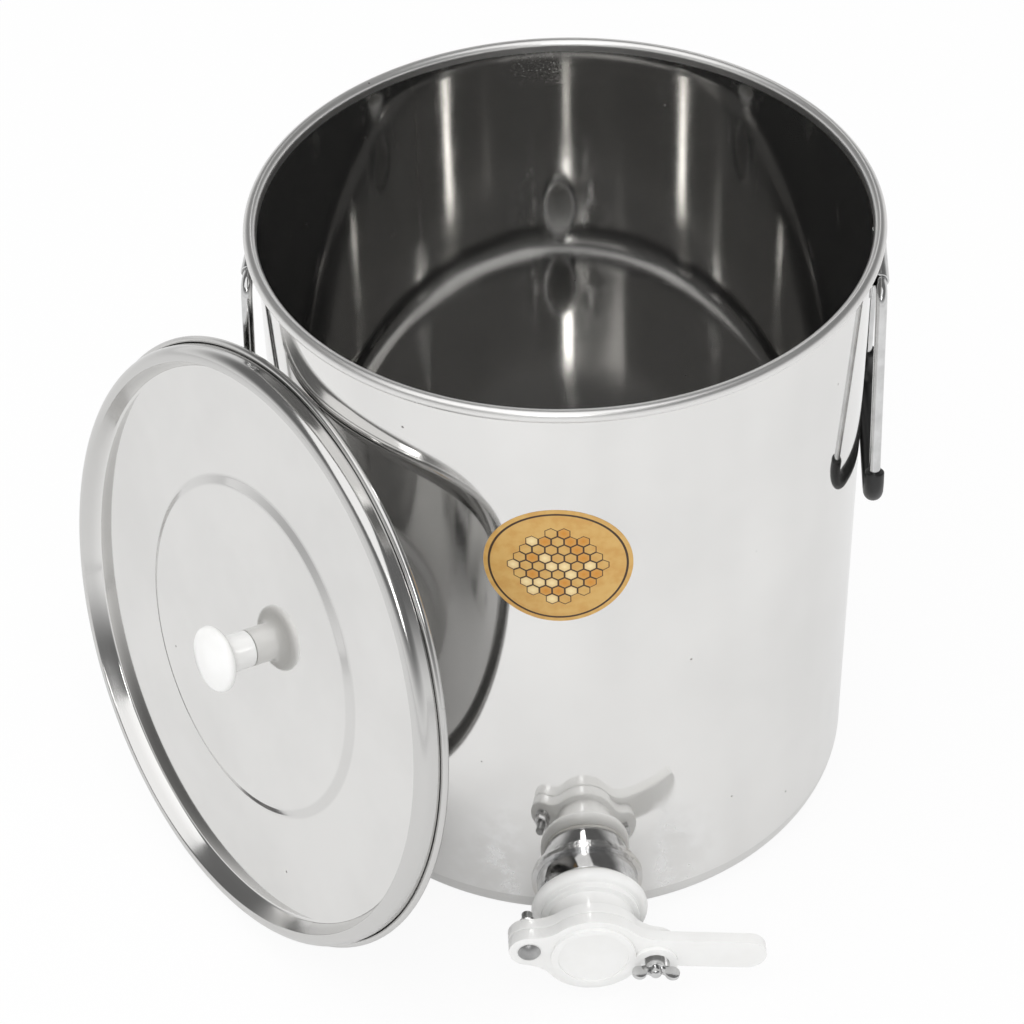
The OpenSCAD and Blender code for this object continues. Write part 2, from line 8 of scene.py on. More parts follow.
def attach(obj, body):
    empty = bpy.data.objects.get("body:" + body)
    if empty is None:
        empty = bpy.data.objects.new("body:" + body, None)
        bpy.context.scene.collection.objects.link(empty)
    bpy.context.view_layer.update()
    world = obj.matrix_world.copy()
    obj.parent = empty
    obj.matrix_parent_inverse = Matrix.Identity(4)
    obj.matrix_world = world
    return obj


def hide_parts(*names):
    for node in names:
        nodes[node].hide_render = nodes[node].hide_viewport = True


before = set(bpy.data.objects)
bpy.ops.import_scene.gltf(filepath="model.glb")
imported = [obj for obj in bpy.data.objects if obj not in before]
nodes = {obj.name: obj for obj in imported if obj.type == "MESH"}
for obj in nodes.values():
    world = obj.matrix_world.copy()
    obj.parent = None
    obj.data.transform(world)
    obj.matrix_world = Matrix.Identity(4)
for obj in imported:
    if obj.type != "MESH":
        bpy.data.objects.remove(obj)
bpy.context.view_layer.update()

scene = bpy.context.scene
mm = 0.001
print("frame loaded:", len(nodes), "nodes")


# camera matched to the photograph

cameraSetup = {
    "place": (-56.5, -1182.9, 1226.4),  # mm
    "yaw": 1.194,  # degrees to the right of +Y
    "pitch": 41.813,  # degrees down
    "roll": -1.834,  # degrees
    "focal": 2808.4,  # in pixels of a 1024 pixel frame
    "frameWidth": 1024,
    "sensor": 36.0,  # mm
    "farClip": 60.0,  # metres
}


def makeCamera(setup):
    yaw, pitch, roll = (math.radians(setup[k]) for k in ("yaw", "pitch", "roll"))
    ahead = Vector((math.sin(yaw) * math.cos(pitch), math.cos(yaw) * math.cos(pitch), -math.sin(pitch)))
    level = Vector((math.cos(yaw), -math.sin(yaw), 0))
    upright = level.cross(ahead)
    right = level * math.cos(roll) + upright * math.sin(roll)
    up = upright * math.cos(roll) - level * math.sin(roll)
    lens = bpy.data.cameras.new("photoCamera")
    lens.sensor_width = setup["sensor"]
    lens.lens = setup["focal"] / setup["frameWidth"] * setup["sensor"]
    lens.clip_end = setup["farClip"]
    camera = bpy.data.objects.new("photoCamera", lens)
    turned = Matrix((right, up, -ahead)).transposed().to_4x4()
    turned.translation = Vector(setup["place"]) * mm
    camera.matrix_world = turned
    scene.collection.objects.link(camera)
    scene.camera = camera


makeCamera(cameraSetup)
print("camera placed")


# shader helpers: Value wraps a socket, Finish builds a node tree


class Value:
    def __init__(self, finish, socket):
        self.finish = finish
        self.socket = socket

    def maths(self, operation, other=0.0, flip=False):
        first, second = (other, self) if flip else (self, other)
        return self.finish.add("ShaderNodeMath", {"operation": operation}, {0: first, 1: second})

    def __add__(self, other):
        return self.maths("ADD", other)

    def __radd__(self, other):
        return self.maths("ADD", other, True)

    def __sub__(self, other):
        return self.maths("SUBTRACT", other)

    def __rsub__(self, other):
        return self.maths("SUBTRACT", other, True)

    def __mul__(self, other):
        return self.maths("MULTIPLY", other)

    def __rmul__(self, other):
        return self.maths("MULTIPLY", other, True)

    def __truediv__(self, other):
        return self.maths("DIVIDE", other)

    def __pow__(self, other):
        return self.maths("POWER", other)

    def __abs__(self):
        return self.maths("ABSOLUTE")

    def __lt__(self, other):
        return self.maths("LESS_THAN", other)

    def __gt__(self, other):
        return self.maths("GREATER_THAN", other)

    def __mod__(self, other):
        return self.maths("FLOORED_MODULO", other)

    def top(self, other):
        return self.maths("MAXIMUM", other)

    def root(self):
        return self.maths("SQRT")

    def fade(self, start, end):  # 0 at start, 1 at end, smooth between
        return self.finish.add(
            "ShaderNodeMapRange",
            {"interpolation_type": "SMOOTHSTEP", "clamp": True},
            {"Value": self, "From Min": start, "From Max": end, "To Min": 0.0, "To Max": 1.0},
        )


def length(x, y):
    return (x * x + y * y).root()


class Finish:
    def __init__(self, tree):
        self.tree = tree
        tree.nodes.clear()

    def add(self, kind, settings=None, sockets=None, output=0):
        node = self.tree.nodes.new(kind)
        for key, value in (settings or {}).items():
            setattr(node, key, value)
        for key, value in (sockets or {}).items():
            if isinstance(value, Value):
                self.tree.links.new(value.socket, node.inputs[key])
            else:
                node.inputs[key].default_value = value
        return Value(self, node.outputs[output]) if node.outputs else None

    def coords(self):
        return self.add("ShaderNodeTexCoord", output="Object")

    def local(self, vector, place):  # coordinates in a piece's own frame
        return self.add("ShaderNodeMapping", {"vector_type": "TEXTURE"},
                        {"Vector": vector, "Location": place.translation, "Rotation": place.to_euler()})

    def split(self, vector):
        node = self.add("ShaderNodeSeparateXYZ", sockets={0: vector}).socket.node
        return [Value(self, s) for s in node.outputs]

    def join(self, x, y, z):
        return self.add("ShaderNodeCombineXYZ", sockets={0: x, 1: y, 2: z})

    def noise(self, vector, scale, detail=3.0, roughness=0.5):
        return self.add(
            "ShaderNodeTexNoise", None,
            {"Vector": vector, "Scale": scale, "Detail": detail, "Roughness": roughness}, "Fac")

    def specks(self, vector, scale, size):  # small round spots, one in each cell
        far = self.add("ShaderNodeTexVoronoi", None, {"Vector": vector, "Scale": scale}, "Distance")
        return 1 - far.fade(size * 0.6, size)

    def mix(self, factor, first, second):
        return self.add(
            "ShaderNodeMix", {"data_type": "RGBA", "blend_type": "MIX"},
            {0: factor, 6: first, 7: second}, 2)

    def bump(self, height, distance):
        return self.add("ShaderNodeBump", None, {"Height": height, "Distance": distance, "Strength": 1.0})

    def rays(self):  # which rays are the camera's, which a mirror's, and how often light was scattered
        path = self.add("ShaderNodeLightPath").socket.node
        names = ("Is Camera Ray", "Is Glossy Ray", "Is Transmission Ray", "Diffuse Depth")
        camera, glossy, through, scattered = (Value(self, path.outputs[name]) for name in names)
        return camera, glossy.top(through), scattered

    def surface(self, **sockets):
        shader = self.add("ShaderNodeBsdfPrincipled", None, sockets)
        self.add("ShaderNodeOutputMaterial", None, {"Surface": shader})


def newFinish(name):
    material = bpy.data.materials.new(name)
    material.use_nodes = True
    return material, Finish(material.node_tree)


def grey(v):
    return (v, v, v, 1.0)


def warm(v):  # the faint warmth of polished stainless
    return (v, v * 0.992, v * 0.976, 1.0)


# floor, room and lamps

studio = {
    "floorSize": 15.0,  # metres from the middle to each side
    "floorDrop": 0.3,  # mm below the drum's base
    "floorColour": 0.88,
    "floorGlow": 0.92,  # share of plain white that the camera sees
    "mirrorGlow": 0.25,  # and that polished metal sees
    "ambient": 0.76,  # strength of the room for diffuse light
    "roomDark": 0.18,  # what mirrors see overhead
    "horizon": (0.0, 0.52),  # height of direction where white turns dark
    "aim": (0.0, 0.0, 0.2),
}
lamps = [
    # name, place, width and height in metres, power in watts
    ("topLamp", (-0.5, -0.7, 2.8), (3.0, 3.0), 34.0),
    ("frontLamp", (-0.2, -2.09, 1.9), (0.36, 0.6), 6.2),
    ("backLamp", (0.28, 1.99, 1.68), (0.26, 0.2), 1.0),
]


def newObject(name, bm):
    mesh = bpy.data.meshes.new(name)
    bm.to_mesh(mesh)
    bm.free()
    made = bpy.data.objects.new(name, mesh)
    scene.collection.objects.link(made)
    return made


def makeWorld(setup):
    world = bpy.data.worlds.new("room")
    world.use_nodes = True
    scene.world = world
    room = Finish(world.node_tree)
    camera, mirror, scattered = room.rays()
    mirror = mirror * (scattered < 0.5)  # past a matt surface the room is plain diffuse light
    height = room.split(room.add("ShaderNodeTexCoord", output="Generated"))[2]
    overhead = height.fade(*setup["horizon"])
    seen = 1 - overhead * (1 - setup["roomDark"])
    strength = camera + (1 - camera) * (mirror * seen + (1 - mirror) * setup["ambient"])
    back = room.add("ShaderNodeBackground", None, {"Color": grey(1.0), "Strength": strength})
    room.add("ShaderNodeOutputWorld", None, {"Surface": back})


def makeFloor(setup):
    bm = bmesh.new()
    bmesh.ops.create_grid(bm, x_segments=8, y_segments=8, size=setup["floorSize"])
    bmesh.ops.translate(bm, verts=bm.verts, vec=(0, 0, -setup["floorDrop"] * mm))
    floor = newObject("floor", bm)
    material, paint = newFinish("floorPaper")
    camera, mirror = paint.rays()[:2]
    seen = camera * setup["floorGlow"] + mirror * setup["mirrorGlow"]
    matt = paint.add("ShaderNodeBsdfDiffuse", None, {"Color": grey(setup["floorColour"])})
    glow = paint.add("ShaderNodeEmission", None, {"Color": grey(1.0), "Strength": 1.0})
    both = paint.add("ShaderNodeMixShader", None, {0: seen, 1: matt, 2: glow})
    paint.add("ShaderNodeOutputMaterial", None, {"Surface": both})
    floor.data.materials.append(material)


def makeLamp(name, place, size, power, aim):
    lamp = bpy.data.lights.new(name, "AREA")
    lamp.shape = "RECTANGLE"
    lamp.size, lamp.size_y = size
    lamp.energy = power
    holder = bpy.data.objects.new(name, lamp)
    holder.location = place
    holder.rotation_euler = (Vector(aim) - Vector(place)).to_track_quat("-Z", "Y").to_euler()
    scene.collection.objects.link(holder)


makeWorld(studio)
makeFloor(studio)
for lampName, lampPlace, lampSize, lampPower in lamps:
    makeLamp(lampName, lampPlace, lampSize, lampPower, studio["aim"])
print("studio ready")


# sizes shared by the pieces, in mm and degrees, as in the part's source, with their counts of steps

drum = {
    "wall": 160.0, "sheet": 0.8, "height": 376.0, "rim": 3.4, "curlEnd": -115, "corner": 19.0, "seam": 20.5,
    "outlet": 35.0, "socket": 28.05, "holeSides": 128, "drill": 120.0,
    "wallRows": 30, "curlSteps": (34, 30), "floorRows": 10, "cornerSteps": 20,
}
lidPlace = {"lean": 12.4, "facing": -145.2, "shift": -20.0, "gap": 0.4}
lidShape = {
    "sheet": 0.6, "drop": 9.8, "slope": 3.9, "ringRound": 6.0, "hemDrop": 12.9, "hem": 2.0, "hemEnd": 475,
    "emboss": 96.0, "embossRise": 2.5, "embossSlope": 5.0, "skirt": 167.2, "ringIn": 159.353,
    "stepRound": 4.0, "panelRound": 1.6, "ringEdge": 1.2, "backFrom": -0.2,
    "middleRows": 12, "panelRows": 10, "underRows": 8, "ringSteps": 12, "hemSteps": (22, 26),
}
handle = {
    "turn": -5.5, "hingeOut": 163.38, "hingeHeight": 349.0, "wire": 3.0, "grip": 5.2, "gap": 0.5,
    "topHalf": 33.0, "lowHalf": 55.0, "tall": 124.0, "topBend": 8.0, "lowBend": 13.0, "gripUp": 5.0,
    "sleeveGap": 0.05, "lip": 0.9, "lipSteps": 4, "clipEdge": 0.25, "clipSteps": 2, "sides": 28,
}
sideTurns = {"right": 0, "left": 180}  # degrees from the right handle
roundSteps = 288  # steps of a full turn on the big pieces


def lidMatrix():
    lean = math.radians(lidPlace["lean"])
    hemOut = lidShape["skirt"] - lidShape["sheet"] + lidShape["hem"]
    up = lidShape["hemDrop"] * math.sin(lean) + hemOut * math.cos(lean) + lidShape["hem"]
    reach = math.sqrt(hemOut ** 2 - lidPlace["shift"] ** 2)
    out = drum["wall"] + lidShape["hem"] + lidPlace["gap"]
    out += lidShape["hemDrop"] * math.cos(lean) + math.sin(lean) * reach
    place = Matrix.Translation(Vector((out, lidPlace["shift"], up)) * mm)
    facing = Matrix.Rotation(math.radians(lidPlace["facing"]), 4, "Z")
    return facing @ place @ Matrix.Rotation(math.radians(90 - lidPlace["lean"]), 4, "Y")


onLid = lidMatrix()


# finishes: a noise has scale, detail and roughness, a grid or lines two scales, a fade its start and end

sheetMarks = {  # what all polished sheet shows
    "spunLines": (0.6, 900), "rolledLines": (1.2, 700), "lineRough": 0.05,
    "clouds": (9.0, 4.0, 0.6), "cloudTone": (0.3, 0.7), "darker": 0.03, "brighter": 0.02,
    "cloudDull": (0.45, 0.8), "cloudRough": 0.03,
    "scratchGrid": (60, 1500), "scratchCut": (0.70, 0.76), "scratchRough": 0.05,
    "speckGrid": 38.0, "speckSize": 0.035, "speckShare": 0.75, "speckRough": 0.3,
    "speckColour": (0.16, 0.15, 0.14, 1.0), "waves": (11.0, 1.5),
}


def steelSheet(look, place=None):
    # polished sheet: rolling marks, slow waves, a few specks and fine scratches
    marks = sheetMarks
    material, f = newFinish(look["name"])
    p = f.coords()
    x, y, z = f.split(f.local(p, place) if place else p)
    around = f.add("ShaderNodeMath", {"operation": "ARCTAN2"}, {0: y, 1: x})
    if place:  # spun piece: marks run round its own axis
        turns, fine = marks["spunLines"]
        lines = f.noise(f.join(around * turns, length(x, y) * fine, z * fine), 1.0, 2.0)
    else:
        turns, fine = marks["rolledLines"]
        lines = f.noise(f.join(around * turns, z * fine, 0.0), 1.0, 2.0)
    cloud = f.noise(p, *marks["clouds"])
    wide, fine = marks["scratchGrid"]
    scratch = f.noise(f.join(x * wide, y * wide, z * fine), 1.0, 1.0).fade(*marks["scratchCut"])
    dots = f.specks(p, marks["speckGrid"], marks["speckSize"])
    base = look["base"]
    dark, light = warm(base - marks["darker"]), warm(base + marks["brighter"])
    tone = f.mix(cloud.fade(*marks["cloudTone"]), dark, light)
    tone = f.mix(dots * marks["speckShare"], tone, marks["speckColour"])
    shine = look["rough"] + (lines - 0.5) * marks["lineRough"]
    shine = shine + cloud.fade(*marks["cloudDull"]) * marks["cloudRough"]
    shine = shine + scratch * marks["scratchRough"] + dots * marks["speckRough"]
    return {"material": material, "tree": f, "place": p, "tone": tone, "shine": shine,
            "height": f.noise(p, *marks["waves"])}


def polish(sheet, look):
    f = sheet["tree"]
    f.surface(**{"Base Color": sheet["tone"], "Metallic": look["metal"], "Roughness": sheet["shine"],
                 "Normal": f.bump(sheet["height"], look["wave"])})
    return sheet["material"]


drumLook = {
    "name": "drumSteel", "base": 0.78, "rough": 0.05, "wave": 0.00008, "metal": 0.985,  # a trace of haze
    "bandGrid": (14, 1.5), "bandCut": (0.45, 0.75), "bandShare": 0.5, "bandTone": 0.68,
    "smudges": (55.0, 5.0, 0.7), "front": (-0.10, -0.06),
    "haloBeside": (0.030, 0.044), "haloReach": (0.045, 0.090), "haloCut": (0.40, 0.62),
    "haloRough": 0.26, "haloShare": 0.6, "haloTone": 0.90,
    "foot": (0.02, 0.075), "footCut": (0.35, 0.7), "footRough": 0.08,
    "rim": (0.3688, 0.3700), "rimRough": 0.28,
    "within": (0.1594, 0.1597), "back": (0.10, 0.14), "scuffSide": 0.006, "scuffWide": (0.008, 0.034),
    "scuffHigh": (0.338, 0.360), "scuffGrain": (850.0, 3.0, 0.7), "scuffCut": (0.48, 0.66),
    "scuffRough": 0.22, "scuffShare": 0.35, "scuffTone": 0.92,
    "spotAlong": (-7.5, 0.0, 7.5), "spotLevel": (-8.0, 8.0), "spotSize": (0.0005, 0.0042), "spotTall": 1.7,
}


def drumFinish(look):
    sheet = steelSheet(look)
    f, p, tone, shine = (sheet[k] for k in ("tree", "place", "tone", "shine"))
    x, y, z = f.split(p)
    wide, tall = look["bandGrid"]
    bands = f.noise(f.join(x * wide, y * wide, z * tall), 1.0, 2.0)
    tone = f.mix(bands.fade(*look["bandCut"]) * look["bandShare"], tone, warm(look["bandTone"]))
    # dull, scuffed patches beside the outlet's weld, a rubbed foot, and satin where the rim was rolled
    away = length(x, z - drum["outlet"] * mm)
    front = 1 - y.fade(*look["front"])
    broken = f.noise(p, *look["smudges"])
    beside = abs(x).fade(*look["haloBeside"])
    halo = front * beside * (1 - away.fade(*look["haloReach"])) * broken.fade(*look["haloCut"])
    foot = (1 - z.fade(*look["foot"])) * broken.fade(*look["footCut"])
    rim = z.fade(*look["rim"])
    shine = shine + halo * look["haloRough"] + foot * look["footRough"] + rim * look["rimRough"]
    tone = f.mix(halo * look["haloShare"], tone, grey(look["haloTone"]))
    # speckled scuff inside, under the rim at the back
    within = 1 - length(x, y).fade(*look["within"])
    near = within * y.fade(*look["back"]) * (1 - abs(x + look["scuffSide"]).fade(*look["scuffWide"]))
    scuff = near * z.fade(*look["scuffHigh"]) * f.noise(p, *look["scuffGrain"]).fade(*look["scuffCut"])
    sheet["shine"] = shine + scuff * look["scuffRough"]
    sheet["tone"] = f.mix(scuff * look["scuffShare"], tone, grey(look["scuffTone"]))
    # spot weld dimples behind each handle clip
    inside = (drum["wall"] - drum["sheet"]) * mm
    spots = [(turn + along, level) for turn in sideTurns.values()
             for along in look["spotAlong"] for level in look["spotLevel"]]
    for turn, level in spots:
        a = math.radians(handle["turn"] + turn)
        spot = (inside * math.cos(a), inside * math.sin(a), (handle["hingeHeight"] + level) * mm)
        far = f.add("ShaderNodeVectorMath", {"operation": "DISTANCE"}, {0: p, 1: spot}, "Value")
        sheet["height"] = sheet["height"] + (1 - far.fade(*look["spotSize"])) * look["spotTall"]
    return polish(sheet, look)


lidLook = {
    "name": "lidSteel", "base": 0.72, "rough": 0.06, "wave": 0.00010, "metal": 1.0,
    # the ring and step tones are painted shade
    "ring": (0.1548, 0.1580), "ringPaintedShade": 0.60, "ringRough": 0.09,
    "stepIn": (0.0900, 0.0920), "stepOut": (0.0955, 0.0975),
    "stepShare": 0.35, "stepPaintedShade": 0.52, "stepRough": 0.05,
}
# painted shade: the lid's underside is a darker copy of its steel, standing in for the shaded gap it faces
lidUndersideShadeLook = {"name": "lidUndersideShadeSteel", "base": 0.45, "rough": 0.12, "wave": 0.00010, "metal": 1.0}


def lidFinish(look):
    # the pressed ring and the step round the middle get painted shade, darker than the panel, and a duller
    # finish
    sheet = steelSheet(look, onLid)
    f = sheet["tree"]
    x, y, z = f.split(f.local(sheet["place"], onLid))
    out = length(x, y)
    ring = out.fade(*look["ring"])
    step = out.fade(*look["stepIn"]) * (1 - out.fade(*look["stepOut"]))
    # painted shade: the ring and the step are darkened
    tone = f.mix(ring, sheet["tone"], warm(look["ringPaintedShade"]))
    sheet["tone"] = f.mix(step * look["stepShare"], tone, warm(look["stepPaintedShade"]))
    sheet["shine"] = sheet["shine"] + ring * look["ringRough"] + step * look["stepRough"]
    return polish(sheet, look)


bottomLook = {
    "name": "bottomSteel", "base": 0.70, "rough": 0.18, "wave": 0.00012, "metal": 0.985,
    "brushGrid": (20, 900), "brushMiddle": 0.4, "brushRough": 0.12,
    "innerFace": (0.45, 0.35),  # mm inside the outer face
    # the inner and corner tones are painted shade
    "innerPaintedShade": 0.42, "bend": (0.003, 0.005), "bendPaintedShade": 0.33, "innerSmooth": 0.5,
}


def bottomFinish(look):
    sheet = steelSheet(look)
    f = sheet["tree"]
    x, y, z = f.split(sheet["place"])
    wide, fine = look["brushGrid"]
    brushed = f.noise(f.join(x * wide, y * wide, z * fine), 1.0, 3.0)
    shine = sheet["shine"] + (brushed - look["brushMiddle"]) * look["brushRough"]
    # the inner face is darker, painted shade, and smoother: it lies nearer the corner's centre than the
    # outer face
    beyond = (length(x, y) - (drum["wall"] - drum["corner"]) * mm).top(0.0)
    deep = length(beyond, z - drum["corner"] * mm)
    inner = 1 - deep.fade(*((drum["corner"] - face) * mm for face in look["innerFace"]))
    tone = f.mix(inner, sheet["tone"], warm(look["innerPaintedShade"]))
    # and the drawn corner is darker still, more painted shade
    sheet["tone"] = f.mix(inner * beyond.fade(*look["bend"]), tone, warm(look["bendPaintedShade"]))
    sheet["shine"] = shine * (1 - inner * look["innerSmooth"])
    return polish(sheet, look)


smallMarks = {"clouds": (120.0, 4.0, 0.6), "cloudTone": (0.3, 0.75), "darker": 0.10, "brighter": 0.03,
              "detail": (3.0, 0.7), "depth": 0.00002}
smallLooks = {
    # material name, base tone, roughness, unevenness, grain
    "satin": ("satinSteel", 0.68, 0.20, 0.10, 900.0),
    "socket": ("socketSteel", 0.62, 0.07, 0.02, 900.0),
    "bright": ("brightSteel", 0.66, 0.14, 0.06, 1200.0),
    "screw": ("screwSteel", 0.44, 0.42, 0.10, 1000.0),
}


def smallSteel(name, base, rough, uneven, grain):
    # turned, bent or stamped small pieces
    marks = smallMarks
    material, f = newFinish(name)
    p = f.coords()
    cloud = f.noise(p, *marks["clouds"])
    fine = f.noise(p, grain, *marks["detail"])
    dark, light = grey(base - marks["darker"]), grey(base + marks["brighter"])
    tone = f.mix(cloud.fade(*marks["cloudTone"]), dark, light)
    shine = rough + (cloud - 0.5 + fine - 0.5) * uneven
    f.surface(**{"Base Color": tone, "Metallic": 1.0, "Roughness": shine,
                 "Normal": f.bump(fine, marks["depth"])})
    return material


weldLook = {"ripple": 420.0, "tint": 35.0, "tintCut": (0.4, 0.7), "tintShare": 0.4, "tone": 0.68,
            "heat": (0.56, 0.51, 0.44, 1.0), "rough": 0.16, "rippleRough": 0.12, "depth": 0.0003}


def weldFinish(look):
    # rippled bead with heat tint
    material, f = newFinish("weldSteel")
    p = f.coords()
    ripple = f.noise(p, look["ripple"], 2.0)
    tint = f.noise(p, look["tint"]).fade(*look["tintCut"])
    tone = f.mix(tint * look["tintShare"], grey(look["tone"]), look["heat"])
    shine = look["rough"] + ripple * look["rippleRough"]
    f.surface(**{"Base Color": tone, "Metallic": 1.0, "Roughness": shine,
                 "Normal": f.bump(ripple, look["depth"])})
    return material


plasticLook = {
    "white": (0.92, 0.92, 0.9108, 1.0), "shaded": (0.89, 0.888, 0.875, 1.0),
    "flow": (45.0, 3.0, 0.6), "flowCut": (0.3, 0.75), "flowRough": 0.06, "skin": 1400.0, "depth": 0.00002,
    "dirtGrid": 90.0, "dirtSize": 0.03, "dirtShare": 0.35, "dirtRough": 0.2, "dirt": (0.55, 0.5, 0.42, 1.0),
    "rough": 0.13,
}


def plasticFinish(name, look):
    # moulded white plastic: faint flow marks, fine skin, small dirt specks
    material, f = newFinish(name)
    p = f.coords()
    flow = f.noise(p, *look["flow"])
    skin = f.noise(p, look["skin"], 2.0)
    dirt = f.specks(p, look["dirtGrid"], look["dirtSize"])
    tone = f.mix(flow.fade(*look["flowCut"]), look["white"], look["shaded"])
    tone = f.mix(dirt * look["dirtShare"], tone, look["dirt"])
    shine = look["rough"] + flow * look["flowRough"] + dirt * look["dirtRough"]
    f.surface(**{"Base Color": tone, "Roughness": shine,
                 "Normal": f.bump(skin * 0.5 + flow * 0.5, look["depth"])})
    return material


sleeveLook = {"grain": 1600.0, "dust": (60.0, 5.0, 0.7), "dustCut": (0.55, 0.8), "dustShare": 0.5,
              "black": 0.010, "dusty": 0.035, "rough": 0.34, "dustRough": 0.22, "grainRough": 0.08,
              "depth": 0.00004}


def sleeveFinish(look):
    # black dipped vinyl with a fine grain and dusty scuffs
    material, f = newFinish("sleeveVinyl")
    p = f.coords()
    grain = f.noise(p, look["grain"], 2.0)
    dust = f.noise(p, *look["dust"]).fade(*look["dustCut"])
    tone = f.mix(dust * look["dustShare"], grey(look["black"]), grey(look["dusty"]))
    shine = look["rough"] + dust * look["dustRough"] + grain * look["grainRough"]
    f.surface(**{"Base Color": tone, "Roughness": shine, "Normal": f.bump(grain, look["depth"])})
    return material


gasketLook = {"name": "gasketRubber", "grain": (900.0, 3.0), "mottle": 80.0, "metal": 0.0,
              "dark": (0.62, 0.61, 0.58, 1.0), "light": (0.70, 0.69, 0.66, 1.0),
              "rough": 0.5, "grainRough": 0.2, "depth": 0.00004}
brassLook = {"name": "insertBrass", "grain": (700.0, 2.0), "mottle": None, "metal": 1.0,
             "dark": (0.72, 0.52, 0.22, 1.0), "light": (0.82, 0.64, 0.32, 1.0),
             "rough": 0.2, "grainRough": 0.15, "depth": 0.00002}


def grainFinish(look):
    # one fine grain over two near tones, for the rubber and the turned brass
    material, f = newFinish(look["name"])
    p = f.coords()
    grain = f.noise(p, *look["grain"])
    share = f.noise(p, look["mottle"]) if look["mottle"] else grain
    tone = f.mix(share, look["dark"], look["light"])
    shine = look["rough"] + grain * look["grainRough"]
    f.surface(**{"Base Color": tone, "Metallic": look["metal"], "Roughness": shine,
                 "Normal": f.bump(grain, look["depth"])})
    return material


labelLook = {
    "turn": -4.7, "height": 273.0, "cell": 6.4, "line": 0.055, "lineSoft": 1.6, "cellShift": 40,
    "field": 24.0, "fieldSoft": (1.0, 0.9), "ringOut": 35.2, "ringIn": 34.2, "ringSoft": 0.15,
    "filled": 0.30, "darkFill": 0.62, "edgeShare": 1.2, "mottle": 160.0, "mottleCut": (0.3, 0.7),
    "amber": (0.61, 0.335, 0.085, 1.0), "paler": (0.67, 0.42, 0.13, 1.0),
    "ink": (0.045, 0.020, 0.008, 1.0), "honey": (0.62, 0.25, 0.02, 1.0), "cream": (0.92, 0.74, 0.40, 1.0),
    "rough": 0.42, "mottleRough": 0.12, "grain": 1100.0, "depth": 0.00001,
}


def labelFinish(look):
    # printed film: a ring and a patch of honeycomb cells on amber
    material, f = newFinish("labelFilm")
    p = f.coords()
    x, y, z = f.split(p)
    turn = math.radians(look["turn"])
    u = (x * math.cos(turn) + y * math.sin(turn)) / mm
    v = (z - look["height"] * mm) / mm
    out = length(u, v)
    # a and b count cells across and up; the nearer of two offset grids gives the hexagon
    tall = math.sqrt(3)
    across, up = look["cellShift"] + 0.5, look["cellShift"] * tall
    a, b = u / look["cell"] + across, v / look["cell"] + up
    ax, ay = a % 1.0 - 0.5, b % tall - tall / 2
    bx, by = (a - 0.5) % 1.0 - 0.5, (b - tall / 2) % tall - tall / 2
    pick = (ax * ax + ay * ay) < (bx * bx + by * by)
    gx = pick * ax + (1 - pick) * bx
    gy = pick * ay + (1 - pick) * by
    edge = abs(gx).top(abs(gx) * 0.5 + abs(gy) * (tall / 2))
    cellLine = edge.fade(0.5 - look["line"] * look["lineSoft"], 0.5 - look["line"])
    cellId = f.join(a - gx, b - gy, 0.0)
    chance = f.add("ShaderNodeTexWhiteNoise", {"noise_dimensions": "2D"}, {"Vector": cellId}, "Value")
    cellOut = (((a - gx - across) * look["cell"]) ** 2.0 + ((b - gy - up) * look["cell"]) ** 2.0).root()
    field = 1 - cellOut.fade(*(look["field"] - soft for soft in look["fieldSoft"]))
    mottle = f.noise(p, look["mottle"])
    tone = f.mix(mottle.fade(*look["mottleCut"]), look["amber"], look["paler"])
    fill = f.mix(chance > look["darkFill"], look["cream"], look["honey"])
    fill = f.mix(edge * look["edgeShare"], fill, tone)
    tone = f.mix(field * (chance > look["filled"]), tone, fill)
    tone = f.mix(field * cellLine, tone, look["ink"])
    ring = out.fade(look["ringIn"] - look["ringSoft"], look["ringIn"])
    ring = ring * (1 - out.fade(look["ringOut"], look["ringOut"] + look["ringSoft"]))
    tone = f.mix(ring, tone, look["ink"])
    f.surface(**{"Base Color": tone, "Roughness": look["rough"] + mottle * look["mottleRough"],
                 "Normal": f.bump(f.noise(p, look["grain"], 2.0), look["depth"])})
    return material


finishes = {
    "drum": drumFinish(drumLook),
    "lid": lidFinish(lidLook),
    "bottom": bottomFinish(bottomLook),
    "lidUndersideShade": polish(steelSheet(lidUndersideShadeLook, onLid), lidUndersideShadeLook),
    "weld": weldFinish(weldLook),
    "gate": plasticFinish("gatePlastic", plasticLook),
    "knob": plasticFinish("knobPlastic", plasticLook),
    "sleeve": sleeveFinish(sleeveLook),
    "gasket": grainFinish(gasketLook),
    "brass": grainFinish(brassLook),
    "label": labelFinish(labelLook),
}
finishes.update({key: smallSteel(*look) for key, look in smallLooks.items()})
print("finishes ready:", len(finishes))


# mesh helpers

meshSetup = {
    "sharp": 38, "softSharp": 45, "bevelFrom": 35,  # degrees between two faces
    "copyFlat": 0.6,  # degrees under which a copy's faces are joined
    "copyMerge": 2e-6, "wireMerge": 1e-6, "spinMerge": 1e-7, "sliver": 1e-8,  # metres
}


def arc(cx, cz, r, start, end, steps):  # points of an arc in a section, degrees
    turns = [math.radians(start + (end - start) * i / steps) for i in range(steps + 1)]
    return [(cx + r * math.cos(a), cz + r * math.sin(a)) for a in turns]


def rounded(a, corner, b, r, steps=6):  # arc that rounds a section's corner
    p, q, s = Vector(a), Vector(corner), Vector(b)
    first, second = (p - q).normalized(), (s - q).normalized()
    half = first.angle(second) / 2
    run = r / math.tan(half)
    middle = q + (first + second).normalized() * (r / math.sin(half))
    begin, finish = q + first * run - middle, q + second * run - middle
    sweep = begin.angle_signed(finish)
    return [tuple(middle + Matrix.Rotation(-sweep * i / steps, 2) @ begin) for i in range(steps + 1)]


def rows(start, end, count):  # evenly spaced points of a straight run, ends left out
    return [
        (start[0] + (end[0] - start[0]) * i / count, start[1] + (end[1] - start[1]) * i / count)
        for i in range(1, count)
    ]


